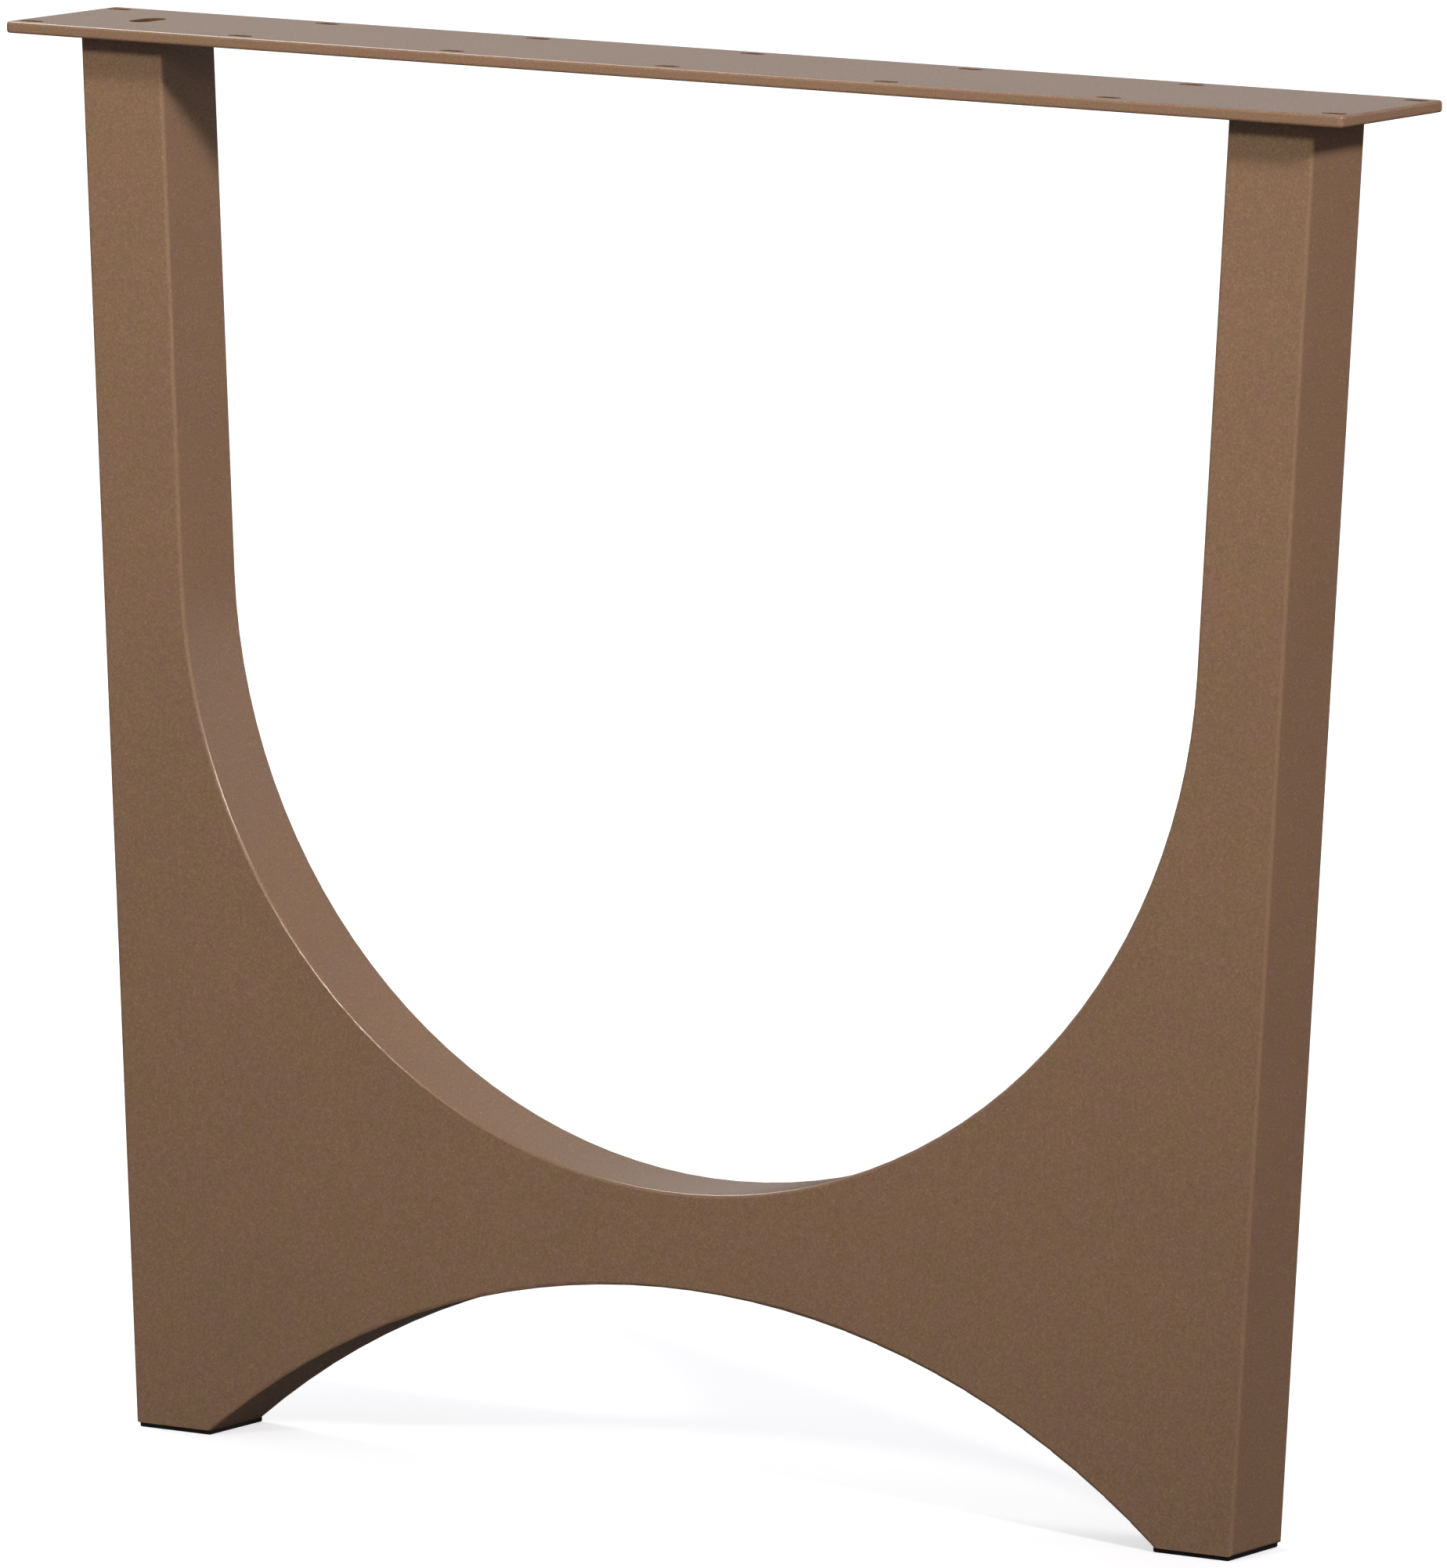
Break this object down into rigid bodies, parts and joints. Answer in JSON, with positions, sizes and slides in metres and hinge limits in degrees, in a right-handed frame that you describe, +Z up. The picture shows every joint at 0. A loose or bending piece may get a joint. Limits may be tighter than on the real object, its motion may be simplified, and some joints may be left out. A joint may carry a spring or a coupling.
{
  "type": "table frame",
  "caption": "Welded sheet-steel table frame: leaning legs joined by a rolled U-shaped bow over an arched base, with a flat slotted mounting plate on top and thin pads under the feet.",
  "frame": {"origin": "on the floor below the middle of the frame", "axes": "+X along the mounting plate, +Y from the front panel to the rear panel, +Z up"},
  "size_m": [0.8, 0.1, 0.7325],
  "materials": {
    "powder_coat": "fine-grained satin powder coat, warm brown",
    "foot_pad": "matt black"
  },
  "bodies": {
    "root": {"top_plate": "powder_coat", "front_panel": "powder_coat", "rear_panel": "powder_coat", "bow_strip": "powder_coat", "arch_strip": "powder_coat", "left_side_strip": "powder_coat", "right_side_strip": "powder_coat", "left_foot_plate": "powder_coat", "right_foot_plate": "powder_coat", "left_foot_pad": "foot_pad", "right_foot_pad": "foot_pad"}
  },
  "joints": []
}
